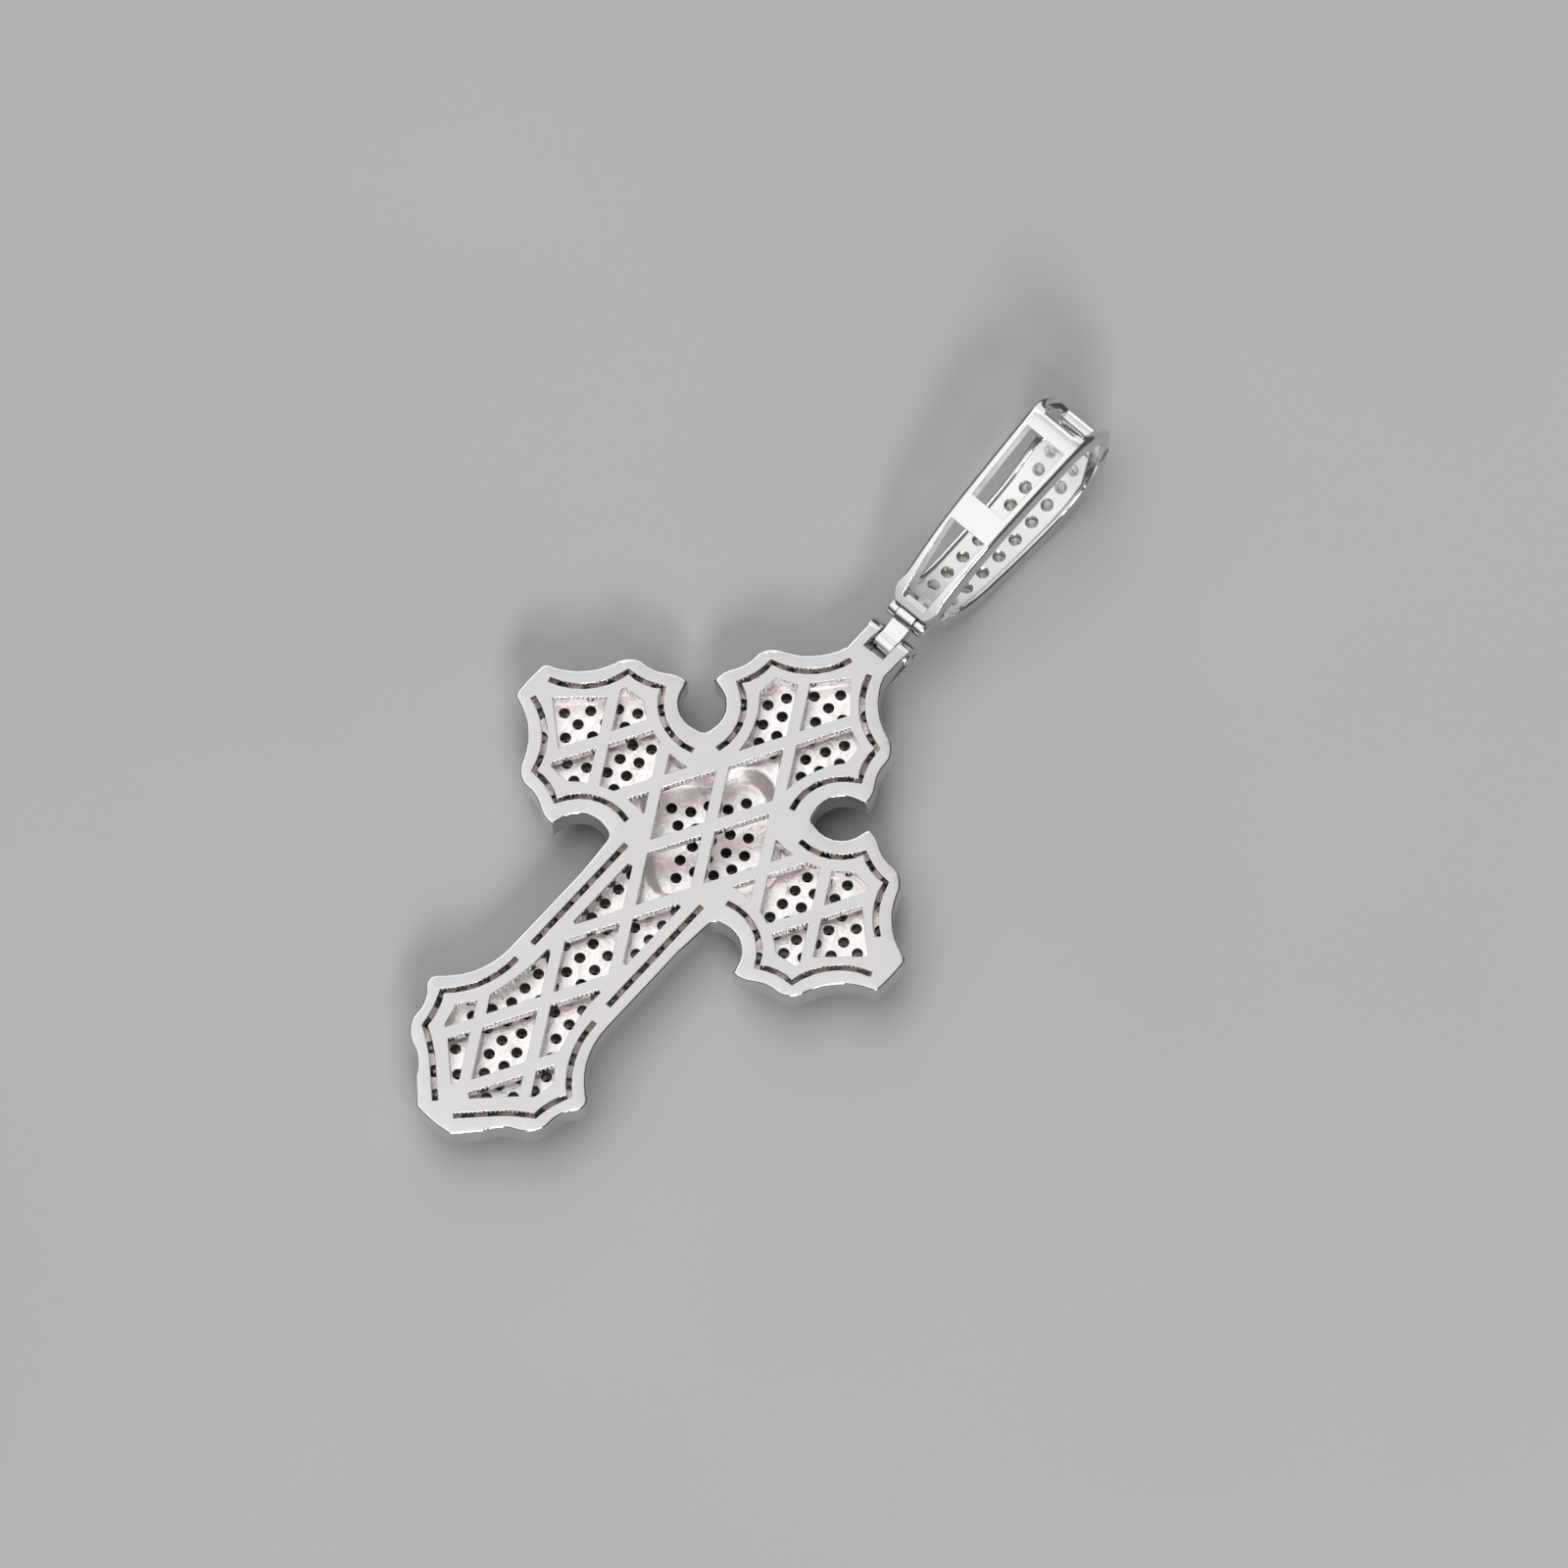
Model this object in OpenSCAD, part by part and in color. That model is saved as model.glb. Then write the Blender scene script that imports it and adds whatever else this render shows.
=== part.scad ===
/* [Cross] */
// Height of the flat back above the surface that the pendant lies on
back_z = 4.3; // [4.2:0.1:4.8]
// Height of the polished side walls
wall_h = 2.1; // [2:0.05:2.3]
// Thickness of the pierced back plate
plate_t = 0.85; // [0.7:0.05:0.9]
// Depth of the inner plate below the back
inner_depth = 1.3; // [1.2:0.05:1.4]
// Depth of the raised centre's inner plate below the back
boss_depth = 2.8; // [2.6:0.1:2.9]

/* [Lattice] */
// Width of one lattice cell, from bar centre to bar centre
cell_w = 5.04; // [4.9:0.02:5.1]
// Width of a lattice bar
bar_w = 0.87; // [0.7:0.01:1]
// Width of the slots that follow the outline
slot_w = 0.4; // [0.35:0.01:0.5]
// Depth of the slots below the back
slot_depth = 1.5; // [1.3:0.1:1.6]

/* [Stones] */
// Diameter of a field stone
field_d = 1.2; // [1:0.05:1.22]
// Diameter of a border stone
border_d = 1.4; // [1.2:0.05:1.42]
// Diameter of a stone on the bail
bail_d = 1.35; // [1.2:0.05:1.35]
// Diameter of the round holes behind the field stones
hole_d = 0.8; // [0.7:0.02:0.84]
// Diameter of the round holes behind the border stones
border_hole_d = 0.94; // [0.8:0.02:1]
// Diameter of the round holes behind the bail's stones
bail_hole_d = 0.96; // [0.8:0.02:1]
// Height of every stone's crown, from girdle to table
crown_h = 0.22; // [0.2:0.01:0.25]
// Diameter of every stone's table, as a share of its girdle
table_share = 0.62; // [0.55:0.01:0.65]
// Depth of every stone below its girdle, as a share of its diameter
pavilion_share = 0.42; // [0.4:0.01:0.43]
// Spacing of the field stones down the long arm
row_pitch = 1.417; // [1.4:0.001:1.43]
// Spacing of the field stones across the long arm
column_pitch = 1.4; // [1.38:0.01:1.42]

/* [Hinges] */
// Diameter of both hinge pins
pin_d = 0.8; // [0.7:0.05:0.9]
// Clearance of a moving hinge part, all round
hinge_gap = 0.1; // [0.08:0.01:0.12]
// Width of the clevis
clevis_w = 3.66; // [3.5:0.02:3.8]
// Width of the slot in the clevis
clevis_slot = 1.68; // [1.6:0.02:1.7]
// Where the clevis slot ends in the cross, from the cross centre
clevis_floor = 17.53; // [17.4:0.01:17.6]
// Height of the link from front to back
link_h = 1.8; // [1.6:0.1:1.9]
// Height of the link's neck, as a share of its height
link_neck = 0.72; // [0.6:0.02:0.9]
// Radius of the ears that hold the bail pin
ear_r = 0.7; // [0.65:0.01:0.75]
// Width over both ears
ear_w = 3; // [2.9:0.05:3.2]

/* [Bail] */
// Front-to-back depth of the openwork back
bail_back_t = 1.5; // [1.4:0.1:1.6]
// Thickness of the front band
bail_front_t = 1.2; // [1.1:0.05:1.3]
// How far the stones' plate sits inside the rails
channel_depth = 0.45; // [0.42:0.01:0.5]
// Spacing of the stones along the bail
bail_pitch = 1.78; // [1.7:0.01:1.85]
// Distance of the first stone from the bail's foot
bail_first = 3.2; // [3.1:0.05:3.3]
// Number of stones in each of the bail's two rows
bail_count = 9; // [7:1:9]

/* [Hidden] */
$fn = 48;
steps = 7;
eps = 0.01;
hole_sides = 16;
// Points of an outline that lie nearer than this are one point
same_point = 0.02;
// Length that reaches past the part on every side
far = 12;
// Ends of the pendant, from the cross centre
foot_y = -29.5;
top_y = 40.7;
// Place of the cross centre, from the middle of the pendant's length
cross_y = -(foot_y + top_y) / 2;
front_z = back_z - wall_h;
inner_z = back_z - inner_depth;
boss_z = back_z - boss_depth;
// Clearance of a stone in its hole, and of a fixed pin
seat_gap = 0.04;
pin_fit = 0.02;
pavilion = function(d) pavilion_share * d;
// Height of a girdle above the plate in whose hole the stone sits
seat = function(d, hole) pavilion(d) * (1 - (hole - 2 * seat_gap) / d);
// The raised centre's stones touch the surface that the pendant lies on
boss_front_z = seat(field_d, hole_d) + crown_h;
// The raised centre: reach and corner radius outside, and at the bottom and the rim of its recess
boss_outside = [6.05, 2.2];
boss_floor = [5.15, 1.9];
boss_rim = 5.9;
cell_h = cell_w * sqrt(3);
link_w = clevis_slot - 2 * hinge_gap;
// Hinge axes, as [y, z]: the clevis pin and the bail pin
pin1 = [18.9, back_z - wall_h / 2];
pin2 = [21.2, 4.1];

function polar(r, a) = r * [cos(a), sin(a)];
// Circle through three points
function centre(p, q, r) =
    let (d = 2 * (p[0] * (q[1] - r[1]) + q[0] * (r[1] - p[1]) + r[0] * (p[1] - q[1])),
         p2 = p * p, q2 = q * q, r2 = r * r)
    [(p2 * (q[1] - r[1]) + q2 * (r[1] - p[1]) + r2 * (p[1] - q[1])) / d,
     (p2 * (r[0] - q[0]) + q2 * (p[0] - r[0]) + r2 * (q[0] - p[0])) / d];
function turn(a) = a - 360 * floor(a / 360);
// Points of the arc that starts at p, passes q and ends at r
function arc(p, q, r, n = steps) =
    let (c = centre(p, q, r), rad = norm(p - c),
         a0 = atan2(p[1] - c[1], p[0] - c[0]),
         to_q = turn(atan2(q[1] - c[1], q[0] - c[0]) - a0),
         to_r = turn(atan2(r[1] - c[1], r[0] - c[0]) - a0),
         sweep = to_q <= to_r ? to_r : to_r - 360)
    [for (i = [0:n]) c + polar(rad, a0 + sweep * i / n)];
function reversed(list) = [for (i = [len(list) - 1:-1:0]) list[i]];
function swapped(list) = [for (p = list) [p[1], p[0]]];
function flip_x(list) = [for (p = list) [-p[0], p[1]]];
function flip_y(list) = [for (p = list) [p[0], -p[1]]];
// Drops each point that repeats the one before it
function joined(list) = [for (i = [0:len(list) - 1])
    if (i == 0 || norm(list[i] - list[i - 1]) > same_point) list[i]];
// A closed outline from its right half, given from top to bottom
function both_sides(half) = joined(concat(half, flip_x(reversed(half))));

// One side of a short arm, as [along, across], from the notch to the tip
notch_side = arc([5.6, 4.92], [7.62, 5.31], [8.42, 6.72]);
arm_mid = joined(concat([[8.53, 7.22]], arc([8.6, 7.22], [9.3, 7.15], [10.08, 6.8]),
    arc([10.08, 6.8], [10.98, 6.36], [11.98, 6.25]),
    arc([11.98, 6.25], [12.88, 5.82], [13.44, 4.93])));
arm_side = joined(concat(notch_side, arm_mid, arc([13.44, 4.93], [14.78, 2.93], [16.9, 1.7]),
    arc([16.9, 1.7], [17.13, 1.5], [17.2, 1.2], 3), [[17.25, 0.4]]));
neck_x = clevis_w / 2;
top_side = joined(concat(notch_side, arm_mid, arc([13.44, 4.93], [14.78, 2.97], [16.6, neck_x]),
    [[pin1[0], neck_x]]));
// Right side of the long arm, from the notch to the foot
long_side = joined(concat([[4.87, -5.6], [4.68, -8.4]],
    arc([4.68, -16.2], [5.41, -19.04], [6.89, -20.83]),
    arc([6.89, -20.83], [7.39, -21.6], [6.94, -22.4], 5),
    arc([6.94, -22.4], [6.47, -23.3], [6.35, -24.4]),
    arc([6.35, -24.4], [5.71, -25.54], [4.59, -26.2]),
    arc([4.59, -26.2], [3.75, -26.9], [3.14, -27.8]),
    [[1.85, -29.1], [1.6, -29.4], [0.4, -29.5]]));
outline = both_sides(concat(swapped(reversed(top_side)),
    arc([4.92, 5.6], [5.12, 5.12], [5.6, 4.92], 4), arm_side, flip_y(reversed(arm_side)),
    arc([5.6, -4.92], [5.12, -5.12], [4.87, -5.6], 4), long_side));

// Centre line of the slot in one side of a short arm, as [along, across]
arm_slot = joined(concat(arc([4.75, 3.52], [8, 3.95], [9.55, 5.75]),
    arc([9.55, 5.75], [10.7, 5.2], [12.22, 5.03], 4),
    arc([12.22, 5.03], [13.9, 2.05], [16.05, 0.87])));
// The one slot in a short arm that starts late and ends early, as [from, to] along the arm
short_slot_ends = [5, 15];
short_slot = [for (p = arm_slot) if (p[0] > short_slot_ends[0] && p[0] < short_slot_ends[1]) p];
// Centre lines of the slots in the right side of the long arm
shank_slot = [[3.58, -4.9], [3.58, -14.85]];
foot_slot = joined(concat(arc([3.68, -16.4], [4.27, -19.3], [6.03, -21.72]),
    arc([6.03, -21.72], [5.53, -22.85], [5.22, -24.45], 4),
    arc([5.22, -24.45], [3.88, -25.35], [2.6, -26.5], 5), [[0.87, -28.2]]));
// Lines of the border stones, a little outside the slots: on one side of a short arm, and on the foot
arm_line = joined(concat(arc([4.75, 3.55], [7.84, 4.05], [9.52, 5.75]),
    arc([9.52, 5.75], [10.64, 5.24], [12.2, 5.02], 4),
    arc([12.2, 5.02], [13.83, 2.58], [16.1, 0.82])));
foot_line = joined(concat(arc([3.66, -16.4], [4.31, -19.4], [6.0, -21.67]),
    arc([6.0, -21.67], [5.4, -22.85], [5.13, -24.5], 4),
    arc([5.13, -24.5], [3.47, -25.55], [2.46, -26.55], 5), [[0.85, -28.1]]));

// Inner edge of the border round the lattice, as [along, across], from the centre to the tip
arm_field = joined(concat([[3.9, 2.4]], arc([4.1, 2.35], [6.9, 2.45], [9.97, 4.1]),
    [[11.55, 3.97], [12.1, 2.55], [14.95, 0.02]]));
// On the long arm it steps in where a window would run out into a sliver
long_field = joined(concat([[2.2, -4.2], [2.2, -5.85], [2.5, -5.9], [2.5, -11.7], [2.2, -11.75],
    [2.2, -14.4], [2.5, -14.45]], arc([2.5, -15.7], [2.9, -18.3], [3.3, -19.8]),
    [[3.8, -20.8], [4.6, -21.78], [4.2, -23.45], [3.4, -24.05]],
    arc([3.4, -24.05], [2.2, -25.2], [0.86, -26.5]), [[0.6, -26.3]]));
field = both_sides(concat(swapped(reversed(arm_field)), [[2.95, 2.95]], arm_field,
    flip_y(reversed(arm_field)), [[2.95, -2.95]], long_field));

// Cells of the lattice that are open, as [column, row] in half cells from the centre
cells = [
    [0, 1], [0, -1], [1, 0], [-1, 0],
    [2, 1], [-2, 1], [2, -1], [-2, -1],
    [3, 0], [-3, 0], [4, 1], [-4, 1], [4, -1], [-4, -1], [0, 3],
    [1, -2], [-1, -2], [0, -3], [1, -4], [-1, -4], [0, -5], [2, -5], [-2, -5], [1, -6], [-1, -6]];
// Open cells that have no outer bars and run on to the border
wide_cells = [[5, 0], [-5, 0], [1, 2], [-1, 2]];
// How far they run on, to both sides of the pendant
wide_reach = 2;

// Places of the stones: [along, [across, ...]] on a short arm, both sides of its middle
arm_rows = [
    [7.4, [0.67, 2]], [8.6, [0, 1.37, 2.7]], [9.95, [0.7, 2.05, 3.4]],
    [11.2, [0, 1.37, 2.75]], [12.6, [0, 1.35]], [13.9, [0]]];
// Places of the stones on the foot: [down, [across, ...]]
foot_rows = [
    [20.1, [0, 1.4, 2.8]], [21.4, [0.7, 2.1, 3.5]], [22.75, [0.7, 2.1, 3.55]],
    [24.05, [0, 1.4, 2.75]], [25.35, [1.35]]];
function mirrored_row(row) = [for (b = row[1]) for (s = b > 0 ? [-1, 1] : [1]) [row[0], s * b]];
arm_places = [for (row = arm_rows) each mirrored_row(row)];
shank_places = [for (k = [0:9]) for (c = k == 0 ? [-1.5, 1.5] : [-1.5:1:1.5])
    [c * column_pitch, -6.05 - k * row_pitch]];
foot_places = [for (row = foot_rows) for (p = mirrored_row(row)) [p[1], -p[0]]];
field_places = concat(arm_places, flip_x(arm_places), swapped(arm_places), shank_places, foot_places);
// Rings of stones round the one in the raised centre's middle: [radius, count, first angle]
boss_rings = [[1.41, 6, 0], [2.64, 12, 15], [3.76, 4, 0]];
boss_places = [for (ring = boss_rings) for (i = [0:ring[1] - 1])
    polar(ring[0], ring[2] + 360 * i / ring[1])];

// Point at a distance along a path, and the path's direction there
function walk(path, dist, i = 0) =
    let (piece = norm(path[i + 1] - path[i]))
    dist <= piece || i == len(path) - 2
        ? let (d = (path[i + 1] - path[i]) / piece) [path[i] + d * dist, d]
        : walk(path, dist - piece, i + 1);
function path_length(path, i = 0) =
    i == len(path) - 1 ? 0 : norm(path[i + 1] - path[i]) + path_length(path, i + 1);
// Evenly spaced places on a path, half a spacing in from both ends
function spread(path, count) =
    [for (i = [0:count - 1]) walk(path, path_length(path) * (i + 0.5) / count)[0]];
arm_border = spread(arm_line, 8);
right_border = concat(arm_border, flip_y(arm_border), swapped(arm_border),
    spread(shank_slot, 6), spread(foot_line, 8));
border_places = concat(right_border, flip_x(right_border));

// Side view of the bail, as [y, z]: the front from its foot to its top, and the back from top to foot
bail_front = joined(concat(arc([22.1, 3.6], [23.1, 1.75], [24.9, 0.72]),
    arc([24.9, 0.72], [26, 0.38], [27.2, 0.2], 4), arc([27.2, 0.2], [31, 0], [34.5, 0.25]),
    arc([34.5, 0.25], [38.9, 2.75], [top_y, 6.4], 10)));
bail_back = joined(concat(arc([top_y, 6.4], [39.5, 8.7], [37.8, 10.15]),
    arc([37.8, 10.15], [33, 9.5], [27.7, 8.45]), arc([27.7, 8.45], [24.3, 7.1], [21.25, 5.35])));
// A path moved to its left by a distance
function shifted(path, d) = [for (i = [0:len(path) - 1])
    let (t = path[min(i + 1, len(path) - 1)] - path[max(i - 1, 0)])
    path[i] + d / norm(t) * [-t[1], t[0]]];
// The plate that holds the bail's stones, and its stones' places with the front's direction there
bail_bed = shifted(bail_front, channel_depth);
bail_places = [for (i = [0:bail_count - 1]) walk(bail_bed, bail_first + i * bail_pitch)];
// Distance of both rows of stones from the middle, at the foot and at the top
bail_row_x = [0.88, 1.08];
// Right half of the bail seen from above, from its foot to its round shoulder and the notch
bail_shoulder = concat(arc([2.6, 38.6], [2.45, 39.8], [1.85, top_y], 5),
    arc([1.85, top_y], [1.3, 40.5], [0.95, 40], 4));
bail_front_half = concat([[1.5, 20], [1.5, 21.3]], arc([2.02, 22.8], [2.2, 27], [2.42, 33], 5),
    bail_shoulder);
bail_back_half = concat([[1.1, 21.25]], arc([1.35, 21.3], [1.7, 21.65], [1.86, 22.3], 3),
    arc([1.95, 23.6], [2.1, 27.7], [2.25, 32], 5), [[2.4, 36.5]], bail_shoulder);
// Right half of the channel that holds the stones
bail_channel = concat([[1, 20], [1, 21.3]], arc([1.52, 22.8], [1.7, 27], [1.92, 33], 5),
    arc([2.1, 38.4], [2, 39.6], [1.65, 40.2], 5), [[0.95, 39.6]]);
// Right halves of the windows in the bail's back
bail_windows = [[[1.05, 21.75], [1.6, 27.7]], [[1.5, 29.85], [1.72, 36.1]]];
// Right half of the opening at the bail's top, from the back's edge to the shoulders
bail_crown = concat([[1.5, 37.85], [1.75, 38.05]], arc([1.95, 38.5], [1.87, 39.4], [1.55, 39.95], 4),
    arc([1.55, 39.95], [1.2, 39.8], [0.9, 39.45], 3));
bail_crown_z = 5.6;
// The notch between the shoulders: half of its width, where it starts, and the wall under it
notch_x = 1;
notch_y = 39;
notch_z = 6.25;
// How far the ears run back into the bail's foot
ear_reach = 1.1;
// Slope inside the bail's foot, as [y, z]
bail_foot_pocket = [[21.75, far], [21.75, 5.9], [23.2, 3.9], [25, 3.9], [25, far]];
// Solid metal round the bail pin
foot_solid_r = 1.35;
// Depth of the windows in the bail's back
window_floor_z = 5.2;
// Room for the link in the bail's foot, over its own height
link_room = 0.3;
// How far the holes behind the bail's stones start in front of the plate
hole_lead = 0.5;
// Height at which the bail's front band gives way to its back
bail_split_z = 4.6;

// Square turned by 45 degrees with round corners, from its reach along the axes
function cushion(reach, r) =
    [for (k = [0:3]) for (i = [0:4]) polar(reach - r, 90 * k) + polar(r, 90 * k - 45 + 22.5 * i)];

module at(places, z) {
    for (p = places) translate([p[0], p[1], z]) children();
}

// A prism along the width, drawn in the side view as [y, z]
module across(width) {
    translate([-width / 2, 0, 0]) rotate([90, 0, 90]) linear_extrude(width) children();
}

// Through holes from the front of a plate to a floor behind it
module holes(places, front, floor_z, d) {
    at(places, front - 1) cylinder(h = floor_z - front + 1 + eps, d = d, $fn = hole_sides);
}

// A round bar along the width, solid or as a hole
module pin_hole(axis, d, width) {
    translate([-width / 2, axis[0], axis[1]]) rotate([0, 90, 0]) cylinder(h = width, d = d);
}

// Round cut stone with its table down: eight crown facets and eight pavilion facets
module stone(d) {
    ring = function(rad, z) [for (i = [0:7]) [each polar(rad, 45 * i), z]];
    polyhedron(
        points = concat(ring(table_share * d / 2, -crown_h), ring(d / 2, 0), [[0, 0, pavilion(d)]]),
        faces = concat([[for (i = [0:7]) i]],
            [for (i = [0:7]) [i, i + 8, (i + 1) % 8 + 8, (i + 1) % 8]],
            [for (i = [0:7]) [i + 8, 16, (i + 1) % 8 + 8]]));
}

// Moves a sub-part from the cross centre's frame to the pendant's own
module placed() {
    translate([0, cross_y, 0]) children();
}

module cushion_block(shape, z, height, scale = 1) {
    translate([0, 0, z]) linear_extrude(height, scale = scale) polygon(cushion(shape[0], shape[1]));
}

// Room between the bars round one cell, whose right half is moved out by a distance
module cell_room(cell, out = 0) {
    x = cell_w / 2 - bar_w / sqrt(3);
    y = cell_h / 2 - bar_w;
    translate([cell[0] * cell_w / 2, cell[1] * cell_h / 2, inner_z - eps]) linear_extrude(wall_h)
        mirror([cell[0] < 0 ? 1 : 0, 0])
            polygon(joined([[x + out, 0], [out, y], [0, y], [-x, 0], [0, -y], [out, -y]]));
}

module lattice_windows() {
    intersection() {
        translate([0, 0, inner_z]) linear_extrude(wall_h) polygon(field);
        union() {
            for (c = cells) cell_room(c);
            for (c = wide_cells) cell_room(c, wide_reach);
        }
    }
}

module slot_along(path) {
    translate([0, 0, back_z - slot_depth]) linear_extrude(slot_depth + 1)
        polygon(concat(shifted(path, slot_w / 2), reversed(shifted(path, -slot_w / 2))));
}

// The slots of one side of the pendant, with the upper slot of its short arm
module side_slots(upper_slot) {
    slot_along(upper_slot);
    slot_along(flip_y(arm_slot));
    slot_along(swapped(arm_slot));
    slot_along(shank_slot);
    slot_along(foot_slot);
}

module cross_body() {
    color("gainsboro") placed() difference() {
        union() {
            translate([0, 0, front_z]) linear_extrude(wall_h) polygon(outline);
            pin_hole(pin1, wall_h, clevis_w);
            cushion_block(boss_outside, boss_front_z, front_z - boss_front_z + eps);
        }
        lattice_windows();
        translate([0, 0, inner_z]) linear_extrude(inner_depth - plate_t) polygon(field);
        cushion_block(boss_floor, boss_z, inner_z - boss_z + eps, boss_rim / boss_floor[0]);
        side_slots(short_slot);
        mirror([1, 0, 0]) side_slots(arm_slot);
        holes(field_places, front_z, inner_z, hole_d);
        holes(concat([[0, 0]], boss_places), boss_front_z, boss_z, hole_d);
        holes(border_places, front_z, back_z - slot_depth, border_hole_d);
        translate([-clevis_slot / 2, clevis_floor, 0]) cube([clevis_slot, far, far]);
        pin_hole(pin1, pin_d, clevis_w + 1);
    }
}

module centre_stone() {
    color("aliceblue") placed() at([[0, 0]], boss_front_z - seat(field_d, hole_d)) stone(field_d);
}

module boss_stones() {
    color("aliceblue") placed() at(boss_places, boss_front_z - seat(field_d, hole_d)) stone(field_d);
}

module field_stones() {
    color("aliceblue") placed() at(field_places, front_z - seat(field_d, hole_d)) stone(field_d);
}

module border_stones() {
    color("aliceblue") placed()
        at(border_places, front_z - seat(border_d, border_hole_d)) stone(border_d);
}

module cross_pin() {
    color("silver") placed() pin_hole(pin1, pin_d - 2 * pin_fit, clevis_w);
}

module link() {
    reach = norm(pin2 - pin1);
    tilt = atan2(pin2[1] - pin1[1], pin2[0] - pin1[0]);
    neck_h = link_neck * link_h;
    color("silver") placed() difference() {
        union() {
            pin_hole(pin1, link_h, link_w);
            pin_hole(pin2, link_h, link_w);
            translate([0, pin1[0], pin1[1]]) rotate([tilt, 0, 0])
                translate([-link_w / 2, 0, -neck_h / 2]) cube([link_w, reach, neck_h]);
        }
        pin_hole(pin1, pin_d + 2 * pin_fit, link_w + 1);
        pin_hole(pin2, pin_d + 2 * pin_fit, link_w + 1);
    }
}

module upright(half, z0, z1) {
    translate([0, 0, z0]) linear_extrude(z1 - z0) polygon(both_sides(half));
}

module on_bail_front() {
    for (i = [0:bail_count - 1]) for (side = [-1, 1]) {
        place = bail_places[i];
        x = bail_row_x[0] + (bail_row_x[1] - bail_row_x[0]) * i / (bail_count - 1);
        translate([side * x, place[0][0], place[0][1]])
            rotate([atan2(place[1][1], place[1][0]), 0, 0]) children();
    }
}

// The closed loop, solid at its foot round the bail pin
module bail_loop() {
    difference() {
        across(far) polygon(joined(concat(bail_front, bail_back)));
        difference() {
            across(far + 1) polygon(joined(concat(shifted(bail_front, bail_front_t),
                shifted(bail_back, bail_back_t))));
            pin_hole(pin2, 2 * foot_solid_r, far);
        }
    }
}

module bail_body() {
    color("gainsboro") placed() difference() {
        union() {
            intersection() {
                bail_loop();
                union() {
                    upright(bail_front_half, 0, bail_split_z);
                    upright(bail_back_half, bail_split_z, far);
                }
            }
            pin_hole(pin2, 2 * ear_r, ear_w);
            translate([-ear_w / 2, pin2[0], pin2[1] - ear_r]) cube([ear_w, ear_reach, 2 * ear_r]);
        }
        intersection() {
            across(far) polygon(concat(shifted(bail_front, -1), reversed(bail_bed)));
            upright(bail_channel, 0, far);
        }
        for (w = bail_windows) upright(w, window_floor_z, far);
        across(2 * bail_windows[0][0][0]) polygon(bail_foot_pocket);
        upright(bail_crown, bail_crown_z, far);
        translate([-notch_x, notch_y, notch_z]) cube([2 * notch_x, far, far]);
        on_bail_front() translate([0, 0, -hole_lead])
            cylinder(h = bail_front_t + hole_lead, d = bail_hole_d, $fn = hole_sides);
        pin_hole(pin2, link_h + link_room, link_w + 2 * hinge_gap);
        pin_hole(pin2, pin_d, ear_w + 1);
    }
}

module bail_pin() {
    color("silver") placed() pin_hole(pin2, pin_d - 2 * pin_fit, ear_w);
}

module bail_stones() {
    color("aliceblue") placed() on_bail_front()
        translate([0, 0, -seat(bail_d, bail_hole_d)]) stone(bail_d);
}

cross_body();
centre_stone();
boss_stones();
field_stones();
border_stones();
cross_pin();
link();
bail_body();
bail_pin();
bail_stones();
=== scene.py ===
"""Looks of a silver cross pendant that lies face down: polished back, cast inner plate, cut stones, and the
beads, pin heads and printed ridges that the solids leave out."""
import math

import bmesh
import bpy
import numpy as np
from mathutils import Matrix


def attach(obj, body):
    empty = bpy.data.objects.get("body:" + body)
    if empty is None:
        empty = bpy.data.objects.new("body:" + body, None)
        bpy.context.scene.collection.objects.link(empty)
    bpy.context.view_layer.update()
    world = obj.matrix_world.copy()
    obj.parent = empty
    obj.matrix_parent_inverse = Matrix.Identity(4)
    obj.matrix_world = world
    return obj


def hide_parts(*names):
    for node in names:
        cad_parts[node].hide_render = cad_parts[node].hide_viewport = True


MM = 0.001
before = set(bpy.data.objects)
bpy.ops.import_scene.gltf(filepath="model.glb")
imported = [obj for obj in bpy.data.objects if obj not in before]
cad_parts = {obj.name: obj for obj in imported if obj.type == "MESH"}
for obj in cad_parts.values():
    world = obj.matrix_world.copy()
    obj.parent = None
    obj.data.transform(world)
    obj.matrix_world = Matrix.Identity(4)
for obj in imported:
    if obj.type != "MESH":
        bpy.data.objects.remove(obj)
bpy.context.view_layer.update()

# Levels of the cross, in mm, as in the solids: flat back, underside of the pierced plate, inner plate, floor
# of the slots, front, and the raised centre's own inner plate and front
BACK_Z = 4.3
PLATE_UNDER_Z = 3.45
INNER_Z = 3.0
SLOT_Z = 2.8
FRONT_Z = 2.2
BOSS_INNER_Z = 1.5
BOSS_FRONT_Z = 0.422
# How far a face may lie from a level and still count as on it, and the largest Z of an upright face's normal
NEAR = 0.05
UPRIGHT = 0.1
# The cross's middle on Y. Places along the bail are counted from it
CROSS_Y = -5.6
# Hinge: the pins' places on Y and Z, half the width over the clevis and over the ears, the pins' radius
CLEVIS_PIN = (18.9 + CROSS_Y, 3.25)
BAIL_PIN = (21.2 + CROSS_Y, 4.1)
CLEVIS_HALF = 1.83
EARS_HALF = 1.5
PIN_R = 0.38
# Stones: depth as a share of the width, height of the crown, and corners of one stone in the solids
PAVILION_SHARE = 0.42
CROWN_H = 0.22
STONE_CORNERS = 17
# Where the bail's openwork back takes over from its front band: a level, and a slanted cut at the foot,
# given by a place on it and the direction square to it
SPLIT_Z = 4.6
FOOT_CUT = np.array([22.3, 6.0])
FOOT_ALONG = np.array([0.8575, 0.5145])
# The bail's crown: where its top bar turns inward, and the radius of that turn
CROWN_Y = 37.9
CROWN_R = 0.5
# Ridges of the printed wax pattern: the way that ridged walls face, and the ridges' pitch
RIDGES_FACE = (0.71, -0.70, 0)
RIDGE_PITCH = 0.31
# All random draws come from here, in the same order each time
LUCK = np.random.default_rng(11)


# Meshes

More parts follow.
